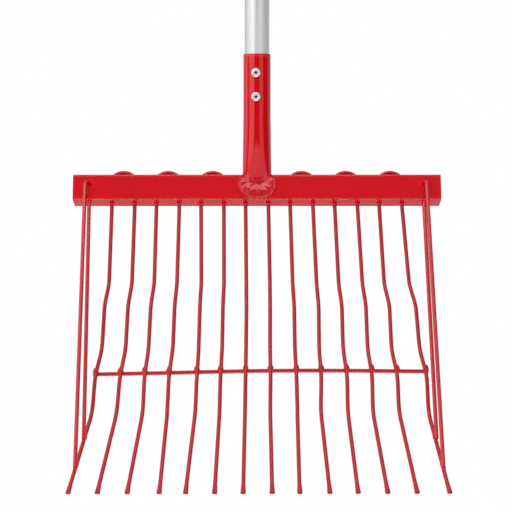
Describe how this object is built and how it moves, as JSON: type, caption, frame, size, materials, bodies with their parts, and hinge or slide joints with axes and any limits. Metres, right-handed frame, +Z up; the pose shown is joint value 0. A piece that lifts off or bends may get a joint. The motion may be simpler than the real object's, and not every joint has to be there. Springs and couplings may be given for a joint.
{
  "type": "shavings fork",
  "caption": "Long-handled fork with a wide basket of bent, painted wire tines on a square crossbar, a riveted tube handle and wire side guards, for lifting shavings and sifting them.",
  "frame": {"origin": "centre of the socket's mouth, on the handle's axis, where the handle enters the head", "axes": "+Z up along the handle, -Y out of the basket's open front, X across the head"},
  "size_m": [0.418, 0.2161, 1.6028],
  "materials": {
    "red_steel": "glossy red powder coat",
    "red_wire": "glossy red powder coat on round wire",
    "red_weld": "red powder coat over weld beads",
    "bare_aluminium": "satin drawn tube",
    "rivet_metal": "bright blind rivet",
    "black_vinyl": "matte push-on grip"
  },
  "bodies": {
    "root": {"crossbar": "red_steel", "left_end_plate": "red_steel", "right_end_plate": "red_steel", "cross_rod": "red_wire", "left_side_wire": "red_wire", "right_side_wire": "red_wire", "socket_tube": "red_steel", "socket_weld": "red_weld", "tine_root_welds": "red_weld", "cross_rod_welds": "red_weld", "side_wire_welds": "red_weld", "shaft_tube": "bare_aluminium", "hand_grip": "black_vinyl", "upper_rivet": "rivet_metal", "lower_rivet": "rivet_metal", "tine_pair_1": "red_wire", "tine_pair_2": "red_wire", "tine_pair_3": "red_wire", "tine_pair_4": "red_wire", "tine_pair_5": "red_wire", "tine_pair_6": "red_wire", "tine_pair_7": "red_wire"}
  },
  "joints": []
}
